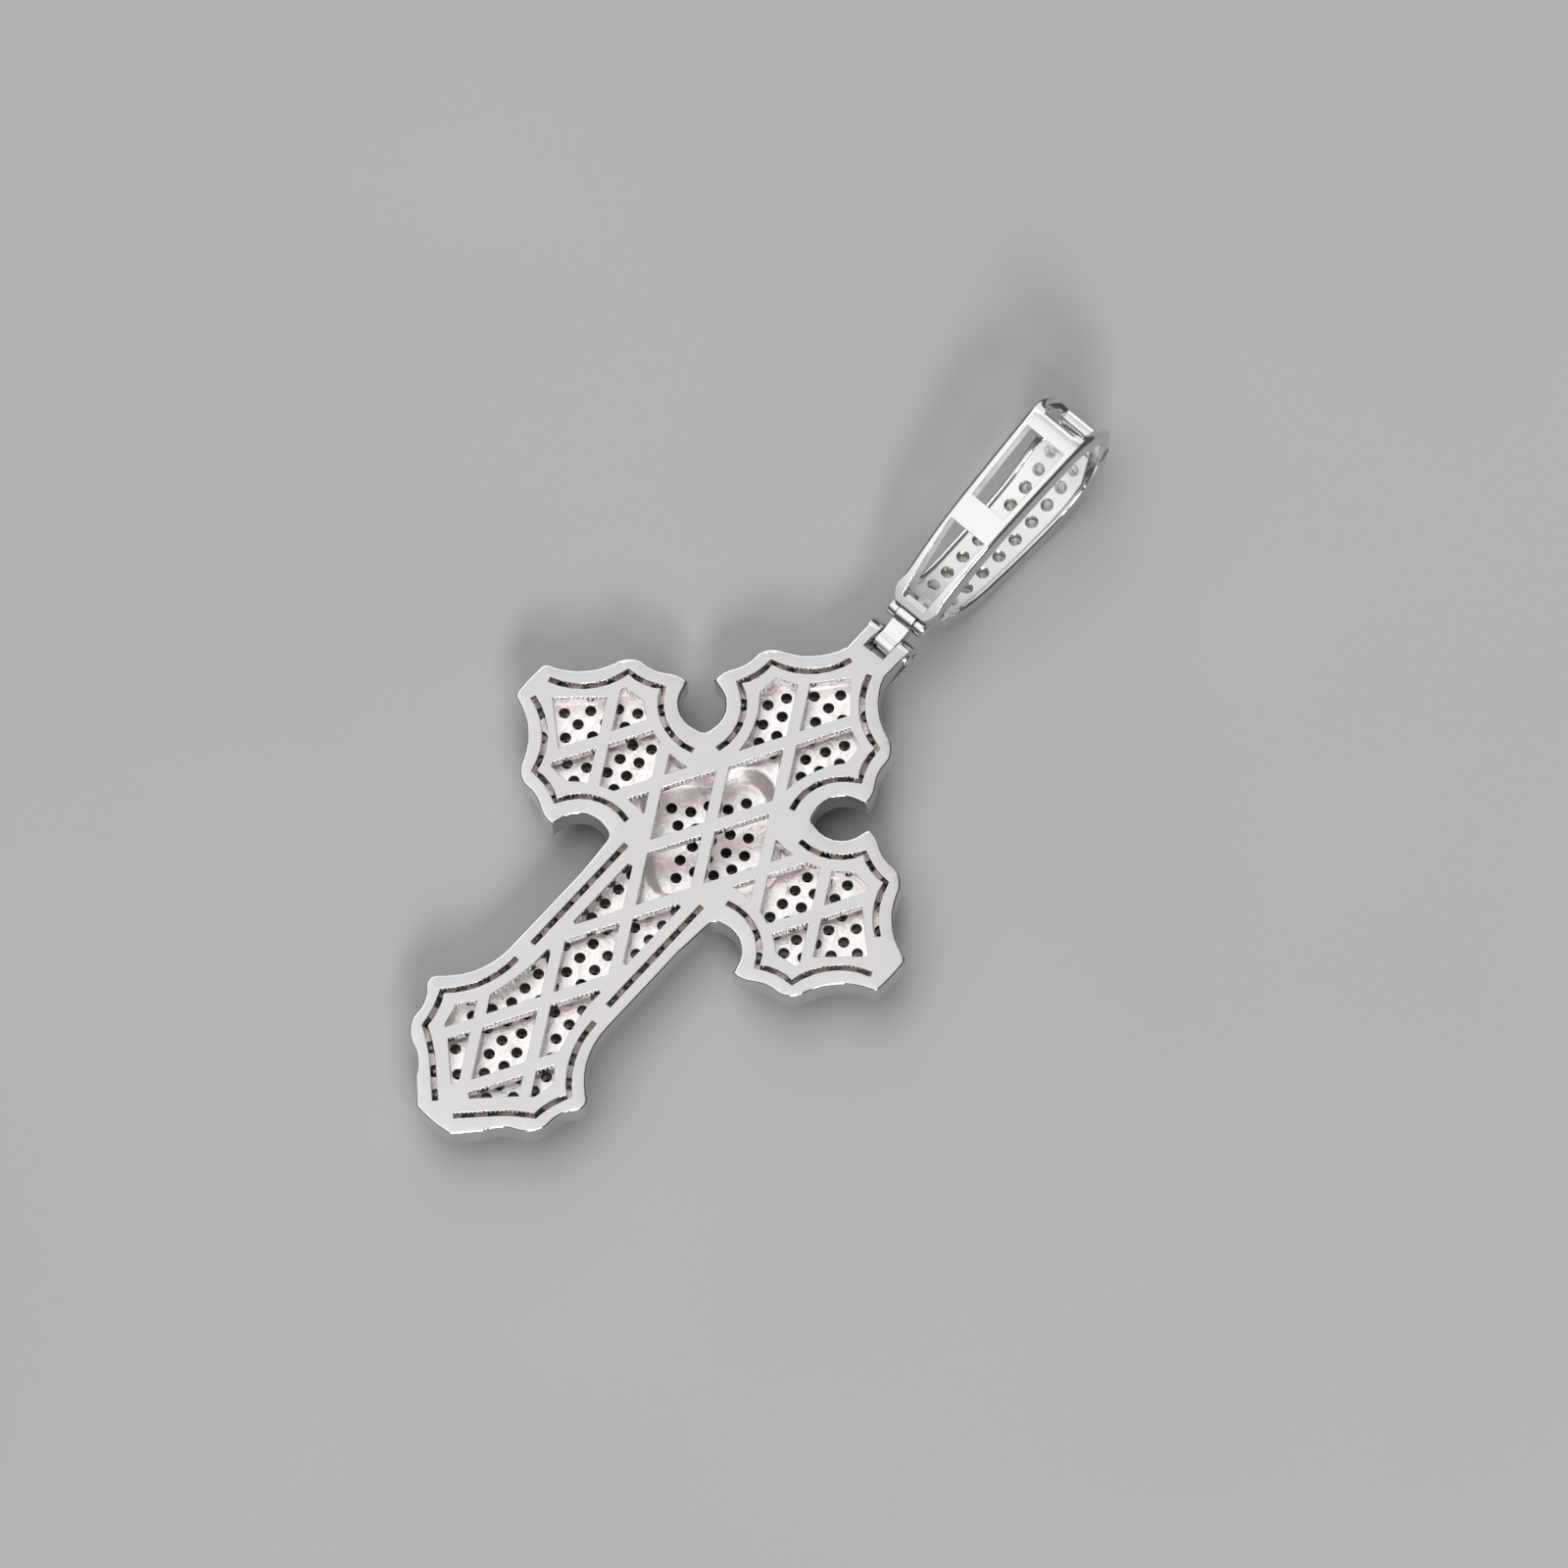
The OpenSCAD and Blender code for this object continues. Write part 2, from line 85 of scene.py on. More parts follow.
def mesh_array(items, key, kind=np.float32, width=1):
    """One value of every item of a mesh, such as the place of its points, as a whole array."""
    values = np.empty(width * len(items), dtype=kind)
    items.foreach_get(key, values)
    return values.reshape(-1, width) if width > 1 else values


def points_and_corners(mesh, kind=np.float32):
    """Places of a mesh's points in mm, and the point of each face corner."""
    points = mesh_array(mesh.vertices, "co", width=3).astype(kind) / MM
    return points, mesh_array(mesh.loops, "vertex_index", np.int32)


def new_piece(name, points, corners, sizes, materials, smooth=True):
    """Object at the origin from whole arrays: points in metres, the corners of all faces, and each face's
    number of corners."""
    mesh = bpy.data.meshes.new(name)
    mesh.vertices.add(len(points))
    mesh.vertices.foreach_set("co", np.ascontiguousarray(points, dtype=np.float32).ravel())
    mesh.loops.add(len(corners))
    mesh.loops.foreach_set("vertex_index", np.asarray(corners, dtype=np.int32))
    mesh.polygons.add(len(sizes))
    mesh.polygons.foreach_set("loop_start", (np.cumsum(sizes) - sizes).astype(np.int32))
    mesh.update(calc_edges=True)
    mesh.validate()
    mesh.polygons.foreach_set("use_smooth", np.full(len(sizes), smooth))
    for material in materials:
        mesh.materials.append(material)
    piece = bpy.data.objects.new(name, mesh)
    bpy.context.scene.collection.objects.link(piece)
    return piece


def repeated(points, faces, turns, places):
    """Copies of one small shape: every copy's points are turn times point plus place."""
    copies = np.einsum("nij,vj->nvi", turns, points) + places[:, None, :]
    flat = np.concatenate([np.asarray(f) for f in faces])
    corners = flat[None, :] + len(points) * np.arange(len(places))[:, None]
    sizes = np.tile([len(f) for f in faces], len(places))
    return copies.reshape(-1, 3), corners.ravel(), sizes


def spun(profile, sides):
    """Closed solid of revolution about Z: each [radius, height] of the profile becomes a ring of points
    radius * (cos a, sin a), and both ends are closed with a fan round a pole."""
    profile = np.asarray(profile, dtype=float)
    a = 2 * np.pi * np.arange(sides) / sides
    ring = np.stack([np.cos(a), np.sin(a)], axis=1)
    rings = np.concatenate([profile[:, None, :1] * ring[None], np.broadcast_to(
        profile[:, None, 1:], (len(profile), sides, 1))], axis=2).reshape(-1, 3)
    poles = np.array([[0, 0, profile[0, 1]], [0, 0, profile[-1, 1]]])
    k, i = np.meshgrid(np.arange(len(profile) - 1), np.arange(sides), indexing="ij")
    j = (i + 1) % sides
    walls = np.stack([k * sides + i, k * sides + j, (k + 1) * sides + j, (k + 1) * sides + i], axis=-1)
    first, last = len(rings), len(rings) + 1
    top = (len(profile) - 1) * sides
    one, two = np.arange(sides), (np.arange(sides) + 1) % sides
    start = np.stack([np.full(sides, first), two, one], axis=1)
    end = np.stack([np.full(sides, last), top + one, top + two], axis=1)
    return np.concatenate([rings, poles]), [*walls.reshape(-1, 4), *start, *end]


def soft_normals(mesh, crease):
    """Normal of every corner: the mean of the faces that meet at its point within the crease angle of its
    own face, weighted by area. Corners are sorted by point, and each is compared with those a shift away."""
    points, corner = points_and_corners(mesh, float)
    a, b, c = (points[corner.reshape(-1, 3)[:, k]] for k in range(3))
    area = np.cross(b - a, c - a)
    unit = area / np.linalg.norm(area, axis=1, keepdims=True).clip(min=1e-12)
    order = np.argsort(corner, kind="stable")
    point, face = corner[order], order // 3
    total = area[face]
    for shift in range(1, np.bincount(corner).max()):
        low = np.flatnonzero(point[shift:] == point[:-shift])
        one, two = face[low], face[low + shift]
        near = np.einsum("ij,ij->i", unit[one], unit[two]) > math.cos(math.radians(crease))
        np.add.at(total, low[near], area[two[near]])
        np.add.at(total, low[near] + shift, area[one[near]])
    normals = np.empty_like(total)
    normals[order] = total / np.linalg.norm(total, axis=1, keepdims=True).clip(min=1e-12)
    return normals


def on_outer_rim(edge):
    """True for an edge between the level back and an outer wall."""
    one, two = edge.link_faces
    for back, wall in ((one, two), (two, one)):
        if back.normal.z > 0.99 and abs(edge.verts[0].co.z / MM - BACK_Z) < 0.01 \
                and abs(wall.normal.z) < UPRIGHT and min(v.co.z for v in wall.verts) / MM < FRONT_Z + 0.1:
            return True
    return False


def cut_off_back(work):
    """Leaves the bail's foot and its front band, and closes the cuts. The bail's openwork back is a piece of
    its own, and begins at a cut square across its own line."""
    for place, normal in [((0, 0, SPLIT_Z), (0, 0, 1)),
                          ((0, FOOT_CUT[0] + CROSS_Y, FOOT_CUT[1]), (0, *FOOT_ALONG))]:
        bmesh.ops.bisect_plane(work, geom=work.verts[:] + work.edges[:] + work.faces[:], dist=1e-7,
                               plane_co=[MM * c for c in place], plane_no=normal)
    gone = []
    for face in work.faces:
        middle = face.calc_center_median() / MM
        if middle.z > SPLIT_Z and (np.array([middle.y - CROSS_Y, middle.z]) - FOOT_CUT) @ FOOT_ALONG > 0:
            gone.append(face)
    bmesh.ops.delete(work, geom=gone, context="FACES")
    bmesh.ops.holes_fill(work, edges=[e for e in work.edges if e.is_boundary], sides=0)
    bmesh.ops.triangulate(work, faces=work.faces)


def merged_copy(node, name, materials, crease=30, rim=0.0, cut=None):
    """Copy of a solid with its doubles merged, smooth across the facets of its curves and sharp at edges
    over the crease angle. With a rim, its outer edge at the back is rounded to that radius in mm."""
    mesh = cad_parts[node].data.copy()
    mesh.name = name
    work = bmesh.new()
    work.from_mesh(mesh)
    bmesh.ops.remove_doubles(work, verts=work.verts, dist=0.0005 * MM)
    if rim:
        bmesh.ops.dissolve_limit(work, angle_limit=math.radians(0.3), verts=work.verts, edges=work.edges)
        work.normal_update()
        edges = [e for e in work.edges if len(e.link_faces) == 2 and on_outer_rim(e)]
        bmesh.ops.bevel(work, geom=edges, offset=rim * MM, offset_type="OFFSET", segments=3, profile=0.5,
                        affect="EDGES", clamp_overlap=False)
        bmesh.ops.triangulate(work, faces=work.faces)
    if cut:
        cut(work)
    work.to_mesh(mesh)
    work.free()
    mesh.materials.clear()
    for material in materials:
        mesh.materials.append(material)
    mesh.polygons.foreach_set("use_smooth", np.ones(len(mesh.polygons), dtype=bool))
    mesh.polygons.foreach_set("material_index", np.zeros(len(mesh.polygons), dtype=np.int32))
    mesh.normals_split_custom_set(soft_normals(mesh, crease).tolist())
    piece = bpy.data.objects.new(name, mesh)
    bpy.context.scene.collection.objects.link(piece)
    return piece


def face_facts(piece):
    """Lowest and highest z of every face in mm, its centre in mm and its normal, as whole arrays."""
    faces = piece.data.polygons
    points, corners = points_and_corners(piece.data)
    starts = mesh_array(faces, "loop_start", np.int32)
    z = points[corners, 2]
    return (np.minimum.reduceat(z, starts), np.maximum.reduceat(z, starts),
            mesh_array(faces, "center", width=3) / MM, mesh_array(faces, "normal", width=3))


# Materials

def new_material(name, **settings):
    """Node material with one Principled shader, whose constants sit on its own sockets."""
    material = bpy.data.materials.new(name)
    material.use_nodes = True
    tree = material.node_tree
    shader = tree.nodes["Principled BSDF"]
    for key, value in settings.items():
        shader.inputs[key.replace("_", " ")].default_value = value
    return tree, shader, material


def add(tree, kind, inputs=None, **settings):
    """Adds a node, sets its own settings, and sets or links its inputs."""
    node = tree.nodes.new("ShaderNode" + kind)
    for key, value in settings.items():
        setattr(node, key, value)
    for key, value in (inputs or {}).items():
        socket = node.inputs[key]
        if isinstance(value, bpy.types.NodeSocket):
            tree.links.new(value, socket)
        else:
            socket.default_value = value
    return node


def math_node(tree, operation, *values):
    """Output of one Math node."""
    return add(tree, "Math", dict(enumerate(values)), operation=operation).outputs[0]


def object_point(tree):
    """Place on the piece, in metres."""
    return add(tree, "TexCoord").outputs["Object"]


def noise(tree, where, size_mm, detail=2.0, rough=0.5):
    """Cloud noise whose lumps are about size_mm across."""
    return add(tree, "TexNoise", {"Vector": where, "Scale": 1 / (size_mm * MM), "Detail": detail,
                                  "Roughness": rough}).outputs["Fac"]


def spread_between(tree, value, low, high, low_in=0.3, high_in=0.7):
    """Value from low_in..high_in carried to low..high."""
    return add(tree, "MapRange", {"Value": value, "From Min": low_in, "From Max": high_in,
                                  "To Min": low, "To Max": high}).outputs["Result"]


def two_tones(tree, value, dark, light):
    """Colour between two tones by a value from 0.3 to 0.7."""
    ramp = add(tree, "ValToRGB", {"Fac": value})
    first, last = ramp.color_ramp.elements
    first.position, first.color = 0.3, (*dark, 1)
    last.position, last.color = 0.7, (*light, 1)
    return ramp.outputs["Color"]


def wall_ridges(tree, where):
    """Upright ridges of the printed wax pattern, on the walls that face one way: a sine of the place along
    the wall, whose direction is the face's normal crossed with Z. They fade down the wall."""
    normal = add(tree, "TexCoord").outputs["Normal"]
    along = add(tree, "VectorMath", {0: normal, 1: (0, 0, 1)}, operation="CROSS_PRODUCT").outputs["Vector"]
    run = add(tree, "VectorMath", {0: where, 1: along}, operation="DOT_PRODUCT").outputs["Value"]
    wave = math_node(tree, "SINE", math_node(tree, "MULTIPLY", run, 2 * math.pi / (RIDGE_PITCH * MM)))
    facing = add(tree, "VectorMath", {0: normal, 1: RIDGES_FACE}, operation="DOT_PRODUCT").outputs["Value"]
    height = add(tree, "SeparateXYZ", {"Vector": where}).outputs["Z"]
    fade = spread_between(tree, height, 0.12, 1.0, (BACK_Z - 0.32) * MM, (BACK_Z - 0.05) * MM)
    wave = math_node(tree, "MULTIPLY", wave, fade)
    return math_node(tree, "MULTIPLY", wave, math_node(tree, "GREATER_THAN", facing, 0.3))


def polished_silver(name, tone=(0.715, 0.698, 0.706), shine=0.07, edge=0.07, ridges=0.0):
    """Bright silver: mirror polish with faint polishing marks and finely rounded edges, and on some walls
    the ridges of the printed pattern."""
    tree, shader, material = new_material(name, Metallic=1.0)
    where = object_point(tree)
    clouds = noise(tree, where, 5.0, detail=3.0)
    marks = add(tree, "Mapping", {"Vector": where, "Rotation": (0, 0, math.radians(33)),
                                  "Scale": (1, 14, 1)}).outputs["Vector"]
    lines = noise(tree, marks, 2.2, detail=4.0, rough=0.7)
    darker = tuple(0.965 * t for t in tone)
    tree.links.new(two_tones(tree, clouds, darker, tone), shader.inputs["Base Color"])
    tree.links.new(spread_between(tree, lines, 0.8 * shine, 1.5 * shine), shader.inputs["Roughness"])
    rounded = add(tree, "Bevel", {"Radius": edge * MM}, samples=6).outputs["Normal"]
    bump = add(tree, "Bump", {"Height": lines, "Normal": rounded, "Strength": 0.03,
                              "Distance": 0.01 * MM}).outputs["Normal"]
    if ridges:
        bump = add(tree, "Bump", {"Height": wall_ridges(tree, where), "Normal": bump, "Strength": 1.0,
                                  "Distance": ridges * MM}).outputs["Normal"]
    tree.links.new(bump, shader.inputs["Normal"])
    return material


def boss_rounding(tree, where, edge):
    """Radius of the rounded edges: larger round the raised centre's recess, where the sum of the distances
    from its middle along X and Y is near the recess's reach."""
    recess_reach, spread, extra = 6.4, 1.1, 0.4
    parts = add(tree, "SeparateXYZ", {"Vector": where}).outputs
    along = math_node(tree, "ABSOLUTE", math_node(tree, "SUBTRACT", parts["Y"], CROSS_Y * MM))
    reach = math_node(tree, "ADD", math_node(tree, "ABSOLUTE", parts["X"]), along)
    near = math_node(tree, "COMPARE", reach, recess_reach * MM, spread * MM)
    return math_node(tree, "MULTIPLY_ADD", near, extra * MM, edge * MM)


def cast_silver(name, light=(1.0, 0.965, 0.96), dark=(0.87, 0.81, 0.80), lump=0.75, depth=0.09, grain=0.02,
                metal=1.0, edge=0.05):
    """Silver as it leaves the casting: bright and satin, with soft dents and a fine sandy grain."""
    tree, shader, material = new_material(name, Metallic=metal)
    where = object_point(tree)
    dents = noise(tree, where, lump, detail=3.0, rough=0.55)
    sand = noise(tree, where, 0.15, detail=3.0, rough=0.65)
    # The tone follows the same noise as the dents' bump, darker in their low parts and lighter on the lumps:
    # painted shade in the dents
    tree.links.new(two_tones(tree, dents, dark, light), shader.inputs["Base Color"])
    tree.links.new(spread_between(tree, sand, 0.24, 0.42), shader.inputs["Roughness"])
    soft = add(tree, "Bump", {"Height": dents, "Strength": 1.0, "Distance": depth * MM})
    if edge:
        rounded = add(tree, "Bevel", {"Radius": boss_rounding(tree, where, edge)}, samples=6)
        tree.links.new(rounded.outputs["Normal"], soft.inputs["Normal"])
    soft = soft.outputs["Normal"]
    if grain:
        soft = add(tree, "Bump", {"Height": sand, "Normal": soft, "Strength": 1.0,
                                  "Distance": grain * MM}).outputs["Normal"]
    tree.links.new(soft, shader.inputs["Normal"])
    return material


def painted_fire(tree, where, colour):
    """Painted fire: small flecks of spectral colour painted into a stone's pale tone, from a fine cloud
    noise, mostly clear, whose highest parts run through violet, red, yellow and green."""
    flecks = add(tree, "ValToRGB", {"Fac": noise(tree, where, 0.42, detail=1.0)})
    stops = flecks.color_ramp.elements
    stops[0].position, stops[1].position = 0.64, 0.79
    stops[0].color = stops[1].color = (1, 1, 1, 1)
    for place, tint in [(0.65, (0.62, 0.56, 1.0)), (0.675, (1.0, 0.30, 0.12)), (0.70, (1.0, 0.85, 0.2)),
                        (0.735, (0.4, 1.0, 0.5))]:
        stops.new(place).color = (*tint, 1)
    return add(tree, "Mix", {6: colour, 7: flecks.outputs["Color"], "Factor": 1.0}, data_type="RGBA",
               blend_type="MULTIPLY").outputs[2]


def clear_stone(name, clear, dark, light, index=2.15, mirror=0.0, film=(250, 620), fire=False):
    """Colourless cut stone with high refraction; a thin film on it gives the small coloured glints, and fire
    paints flecks of colour.
    """
    tree, shader, material = new_material(name, Metallic=mirror, Roughness=0.0, IOR=index)
    shader.inputs["Transmission Weight"].default_value = clear
    shader.inputs["Thin Film IOR"].default_value = 1.4
    where = object_point(tree)
    tone = noise(tree, where, 1.3)
    colour = two_tones(tree, tone, dark, light)
    tree.links.new(painted_fire(tree, where, colour) if fire else colour, shader.inputs["Base Color"])
    tree.links.new(spread_between(tree, tone, *film), shader.inputs["Thin Film Thickness"])
    return material


back_silver = polished_silver("back_silver", edge=0.10)
wall_silver = polished_silver("wall_silver", tone=(0.82, 0.775, 0.765), shine=0.17, edge=0.05, ridges=0.06)
# Darker, browner tone on the slots' walls: painted shade in the deep slots
slot_shade_silver = polished_silver("slot_shade_silver", tone=(0.68, 0.61, 0.585), shine=0.14, edge=0.05, ridges=0.03)
bail_silver = polished_silver("bail_silver", tone=(0.73, 0.72, 0.722), shine=0.09)
pin_silver = polished_silver("pin_silver", tone=(0.80, 0.79, 0.785), shine=0.11, edge=0.04)
inner_cast = cast_silver("inner_cast")
# Near-black tones on the walls of the stones' holes: painted shade in the holes
hole_shade_cast = cast_silver("hole_shade_cast", light=(0.15, 0.135, 0.13), dark=(0.08, 0.07, 0.065))
# Darker, browner tones on the slots' floor, in random patches: painted shade in the slots
slot_shade_cast = cast_silver("slot_shade_cast", light=(0.90, 0.82, 0.79), dark=(0.48, 0.42, 0.40), lump=1.1)
satin_cast = cast_silver("satin_cast", light=(1.0, 1.0, 1.0), dark=(0.98, 0.975, 0.97), lump=1.6,
                         depth=0.03, grain=0.0, metal=0.12, edge=0.0)
bead_silver = polished_silver("bead_silver", shine=0.12, edge=0.02)
# Lighter tone than the rest of the silver, so the beads on the wall edges show as white dots: painted
# highlight
ridge_highlight_silver = polished_silver("ridge_highlight_silver", tone=(0.98, 0.975, 0.98), shine=0.28, edge=0.01)
# Lit and shaded copies of one clear stone. The stones under the cross have dark grey tones: painted shade.
# The bail's stones are opaque white with a mirror share, painted light, with painted flecks of fire
shaded_stone = clear_stone("shaded_stone", 1.0, (0.28, 0.28, 0.29), (0.66, 0.65, 0.64), film=(90, 170))
lit_stone = clear_stone("lit_stone", 0.0, (0.97, 0.975, 0.99), (1.0, 1.0, 1.0), index=1.8,
                           mirror=0.28, fire=True)


# The cross and the bail's front band

# Every face of the cross gets one finish by its slope and the levels that it lies between. The numbers in
# finish are places in this list. The walls of the stones' holes and the slots' walls and floor get darker
# tones: painted shade
cross_finishes = [back_silver, inner_cast, hole_shade_cast, wall_silver, slot_shade_silver, slot_shade_cast]
cross = merged_copy("cross_body", "pierced_cross", cross_finishes, rim=0.17)
low, high, centre, normal = face_facts(cross)
upright = np.abs(normal[:, 2]) < UPRIGHT
under_plate = high < PLATE_UNDER_Z + NEAR
above_front = low > FRONT_Z + 0.6
upward = (normal[:, 2] > 0.3) & under_plate
hollow = above_front & under_plate
underside = (normal[:, 2] < -0.3) & above_front
low_hole = (low > FRONT_Z - NEAR) & (high < INNER_Z + NEAR)
drilled = upright & (low_hole | (high < BOSS_INNER_Z + NEAR))
cut_wall = upright & (low > FRONT_Z + 0.4) & (high > BACK_Z - 0.1)
slot_wall = cut_wall & (low < INNER_Z)
slot_floor = (normal[:, 2] > 0.9) & (np.abs(centre[:, 2] - SLOT_Z) < 0.02)
ridged_wall = cut_wall & (normal @ RIDGES_FACE > np.where(slot_wall, 0.92, 0.75))
finish = np.select([drilled, slot_wall, cut_wall, slot_floor, upward | hollow | underside], [2, 4, 3, 5, 1])
cross.data.polygons.foreach_set("material_index", finish.astype(np.int32))
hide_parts("cross_body")
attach(cross, "cross")

band = merged_copy("bail_body", "bail_band", [bail_silver, satin_cast], cut=cut_off_back)
low, high, centre, normal = face_facts(band)
# The front band's inside, which looks up from low down and past the ears, is satin
bed_inside = (normal[:, 2] > 0.2) & (centre[:, 2] < 4.4) & (centre[:, 1] > 16.5)
band.data.polygons.foreach_set("material_index", bed_inside.astype(np.int32))
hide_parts("bail_body")
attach(band, "bail")


# The bail's openwork back

def arc(start, through, end, count=60):
    """Points of the circle arc from start through a middle point to the end: the middle plus the radius
    times (cos a, sin a)."""
    p, q, r = (complex(*c) for c in (start, through, end))
    w = (r - p) / (q - p)
    middle = (q - p) * (w - abs(w) ** 2) / (2j * w.imag) + p
    first, half, last = (np.angle(c - middle) for c in (p, q, r))
    to_half, to_last = (half - first) % (2 * np.pi), (last - first) % (2 * np.pi)
    sweep = to_last if to_half <= to_last else to_last - 2 * np.pi
    line = middle + abs(p - middle) * np.exp(1j * (first + sweep * np.linspace(0, 1, count + 1)))
    return np.stack([line.real, line.imag], axis=1)


def loop_line(step=0.02, blur=0.8):
    """Side view of the bail from its foot along the back, over the shoulders and along the front band to the
    foot again, as places in mm at equal steps, with its corners rounded by two running means, and the inward
    direction at each place. The last arc is followed for three quarters of its length."""
    line = np.concatenate([arc((21.25, 5.35), (24.3, 7.1), (27.7, 8.45)),
                           arc((27.7, 8.45), (33, 9.5), (37.8, 10.15))[1:],
                           arc((37.8, 10.15), (39.5, 8.7), (40.7, 6.4))[1:],
                           arc((40.7, 6.4), (38.9, 2.75), (34.5, 0.25))[1:],
                           arc((34.5, 0.25), (31, 0), (27.2, 0.2))[1:],
                           arc((27.2, 0.2), (26, 0.38), (24.9, 0.72))[1:],
                           arc((24.9, 0.72), (23.1, 1.75), (22.1, 3.6))[1:45]])
    run = np.concatenate([[0], np.cumsum(np.linalg.norm(np.diff(line, axis=0), axis=1))])
    even = np.arange(0, run[-1], step)
    line = np.stack([np.interp(even, run, line[:, k]) for k in (0, 1)], axis=1)
    place = np.arange(len(line))
    for _ in range(2):
        reach = np.minimum(np.minimum(place, place[::-1]), int(blur / step))
        total = np.cumsum(np.concatenate([[[0, 0]], line]), axis=0)
        line = (total[place + reach + 1] - total[place - reach]) / (2 * reach + 1)[:, None]
    along = np.gradient(line, axis=0)
    along /= np.linalg.norm(along, axis=1, keepdims=True)
    return even, line, np.stack([along[:, 1], -along[:, 0]], axis=1)


RUN, LOOP, INWARD = loop_line()
LOOP_TOP = LOOP[:, 0].argmax()


def run_at(y):
    """Distance along the loop's back at which it reaches y."""
    return np.interp(y, LOOP[:LOOP_TOP, 0], RUN[:LOOP_TOP])


def run_at_front(y):
    """Distance along the loop at which its front band reaches y."""
    return np.interp(-y, -LOOP[LOOP_TOP:, 0], RUN[LOOP_TOP:])


def on_loop(run, across, depth):
    """Points at distances along the loop, across the width and inward from the surface, in mm."""
    line = np.stack([np.interp(run, RUN, LOOP[:, k]) for k in (0, 1)], axis=-1)
    inward = np.stack([np.interp(run, RUN, INWARD[:, k]) for k in (0, 1)], axis=-1)
    inward /= np.linalg.norm(inward, axis=-1, keepdims=True)
    side = line[..., None, :] + depth[..., None] * inward[..., None, :]
    return np.concatenate([across[..., None], side + [CROSS_Y, 0]], axis=-1)


def rail_rings(run, inner, outer, inner_r, outer_r, under_r, thick, lean, bend=6):
    """Sections of the right rail: a rectangle from inner to outer and as deep as the rail is thick, whose
    four corners are quarter circles, and whose outer wall leans outward with its depth."""
    t = np.linspace(0, np.pi / 2, bend)
    cos, sin = np.cos(t), np.sin(t)
    column = [v[:, None] for v in (inner, outer, inner_r, outer_r, under_r, thick, lean)]
    inner, outer, inner_r, outer_r, under_r, thick, lean = column
    across = np.concatenate([inner + inner_r * (1 - cos), outer - outer_r * (1 - cos[::-1]),
                             outer - under_r * (1 - cos), inner + under_r * (1 - cos[::-1])], axis=1)
    depth = np.concatenate([inner_r * (1 - sin), outer_r * (1 - sin[::-1]),
                            thick - under_r * (1 - sin), thick - under_r * (1 - sin[::-1])], axis=1)
    across[:, bend:3 * bend] += lean * depth[:, bend:3 * bend]
    return on_loop(run, across, depth)


def two_triangles(a, b, c, d):
    """The two triangles of every four-cornered face a, b, c, d."""
    halves = [np.stack(corners, axis=-1).reshape(-1, 3) for corners in ((a, b, d), (b, c, d))]
    return np.concatenate(halves)


def rail_sections():
    """Distances along the loop of the rail's sections, and their inner edge, outer edge, inner round, outer
    round, round below, thickness and lean, in mm. Between the sections given here the values run in straight
    lines, and the top bar's inner round follows a quarter circle at the crown."""
    # Place on Y along the back, and then the values in the order above
    back = np.array([
        [22.28, 1.10, 1.86, 0.02, 0.03, 0.02, 1.72, 0], [23.0, 1.17, 1.91, 0.02, 0.30, 0.10, 1.7, 0],
        [23.6, 1.22, 1.95, 0.02, 0.36, 0.20, 1.6, 0], [27.7, 1.60, 2.10, 0.02, 0.36, 0.20, 1.5, 0],
        [29.85, 1.50, 2.18, 0.02, 0.38, 0.20, 1.5, 0], [32.0, 1.57, 2.25, 0.02, 0.38, 0.20, 1.5, 0],
        [36.1, 1.72, 2.39, 0.02, 0.38, 0.20, 1.45, 0], [37.0, 1.45, 2.46, 0.02, 0.42, 0.22, 1.4, 0],
        [CROWN_Y, 1.30, 2.53, CROWN_R, 0.42, 0.25, 1.3, 0], [38.05, 1.44, 2.55, 0.42, 0.42, 0.26, 1.3, 0],
        [38.25, 1.66, 2.57, 0.40, 0.42, 0.28, 1.3, 0], [38.6, 1.80, 2.60, 0.38, 0.40, 0.30, 1.25, 0],
        [39.8, 1.62, 2.52, 0.42, 0.42, 0.32, 1.2, 0.02], [40.55, 1.40, 2.34, 0.42, 0.42, 0.32, 1.15, 0.08]])
    # The same over the shoulder, by the distance along the loop
    shoulder = RUN[LOOP_TOP]
    over = np.array([
        [shoulder + 0.3, 1.34, 2.28, 0.42, 0.42, 0.32, 1.15, 0.1],
        [shoulder + 2.0, 1.36, 2.30, 0.30, 0.34, 0.25, 1.15, 0.2],
        [shoulder + 3.2, 1.60, 2.38, 0.10, 0.20, 0.24, 1.22, 0.18]])
    # The same along the front band, by place on Y
    front = np.array([
        [38.0, 2.12, 2.58, 0.05, 0.06, 0.2, 1.34, 0.04], [37.0, 2.13, 2.60, 0.03, 0.04, 0.2, 1.36, 0],
        [33.0, 1.98, 2.45, 0.03, 0.04, 0.2, 1.36, 0], [27.0, 1.76, 2.23, 0.03, 0.04, 0.2, 1.36, 0],
        [22.9, 1.58, 2.05, 0.03, 0.04, 0.2, 1.36, 0]])
    table = np.concatenate([np.column_stack([run_at(back[:, 0]), back[:, 1:]]), over,
                            np.column_stack([run_at_front(front[:, 0]), front[:, 1:]])])
    t = np.linspace(0, np.pi / 2, 8)
    edge = run_at(CROWN_Y) - CROWN_R * (1 - np.sin(t))
    run = np.union1d(np.concatenate([np.arange(table[0, 0], table[-1, 0], 0.16), edge]), table[:, 0])
    run = run[np.concatenate([[True], np.diff(run) > 1e-4])]
    columns = [np.interp(run, table[:, 0], table[:, k]) for k in range(1, 8)]
    turned = (run > edge[0]) & (run <= edge[-1])
    columns[2] = np.where(turned, np.interp(run, edge, CROWN_R * (1 - np.cos(t))), columns[2])
    columns[2] = np.where(run <= edge[0], 0, columns[2]).clip(min=0.001)
    return run, columns


